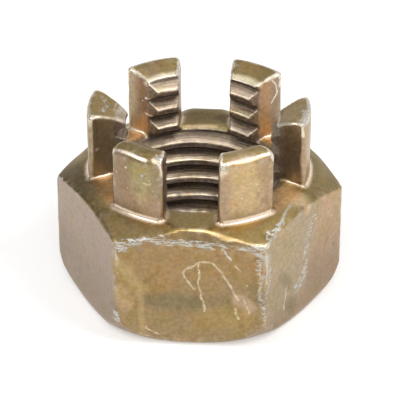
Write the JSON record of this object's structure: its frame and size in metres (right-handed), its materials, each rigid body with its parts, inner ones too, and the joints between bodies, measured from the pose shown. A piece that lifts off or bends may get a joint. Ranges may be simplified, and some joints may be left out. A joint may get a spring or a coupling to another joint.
{
  "type": "castle nut",
  "caption": "Hexagonal castle nut with a slotted crown of prongs for a cotter pin and a threaded through bore.",
  "frame": {"origin": "centre of the bearing face, on the thread axis", "axes": "+Z along the thread axis, from the bearing face to the castle; two corners of the hexagon on X, one slot along Y"},
  "size_m": [0.0274, 0.024, 0.0193],
  "materials": {
    "plated_steel": "yellow zinc plating over forged steel, semi-gloss, scuffed to grey zinc at the edges"
  },
  "bodies": {
    "root": {"castle_nut": "plated_steel"}
  },
  "joints": []
}
